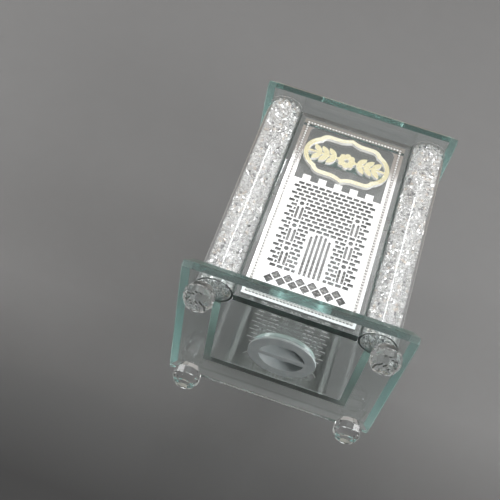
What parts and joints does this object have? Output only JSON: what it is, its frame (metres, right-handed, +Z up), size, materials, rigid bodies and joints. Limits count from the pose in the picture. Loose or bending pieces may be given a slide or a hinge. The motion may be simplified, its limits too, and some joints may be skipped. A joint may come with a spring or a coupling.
{
  "type": "charity coin box",
  "caption": "Glass charity box on faceted ball feet: bevelled plates, crystal-filled front columns, pierced metal plaques, a coin slot in the top and a pull-out plug below.",
  "frame": {"origin": "on the surface it stands on, under the middle of the base plate", "axes": "+Z up, +X to the right seen from the front, the front with the cartouche towards -Y"},
  "size_m": [0.12, 0.108, 0.1589],
  "materials": {
    "plate_glass": "polished, green-tinted edges",
    "panel_glass": "polished",
    "column_tube": "polished clear",
    "crystal_chips": "crushed, sparkling",
    "plaque_metal": "satin silver",
    "cartouche_gold": "pale gold, fine glitter",
    "foot_crystal": "cut and polished",
    "plug_silicone": "milky, matt"
  },
  "bodies": {
    "box": {"base_plate": "plate_glass", "top_plate": "plate_glass", "front_panel": "panel_glass", "rear_panel": "panel_glass", "left_panel": "panel_glass", "right_panel": "panel_glass", "left_column": "column_tube", "right_column": "column_tube", "left_crystals": "crystal_chips", "right_crystals": "crystal_chips", "front_plaque": "plaque_metal", "rear_plaque": "plaque_metal", "cartouche": "cartouche_gold", "foot_front_left": "foot_crystal", "foot_front_right": "foot_crystal", "foot_rear_left": "foot_crystal", "foot_rear_right": "foot_crystal"},
    "plug": {"coin_plug": "plug_silicone"}
  },
  "joints": [
    {"name": "plug_pull", "type": "slide", "parent": "box", "child": "plug", "axis": [0, 0, -1], "range_m": [0, 0.0115]}
  ]
}
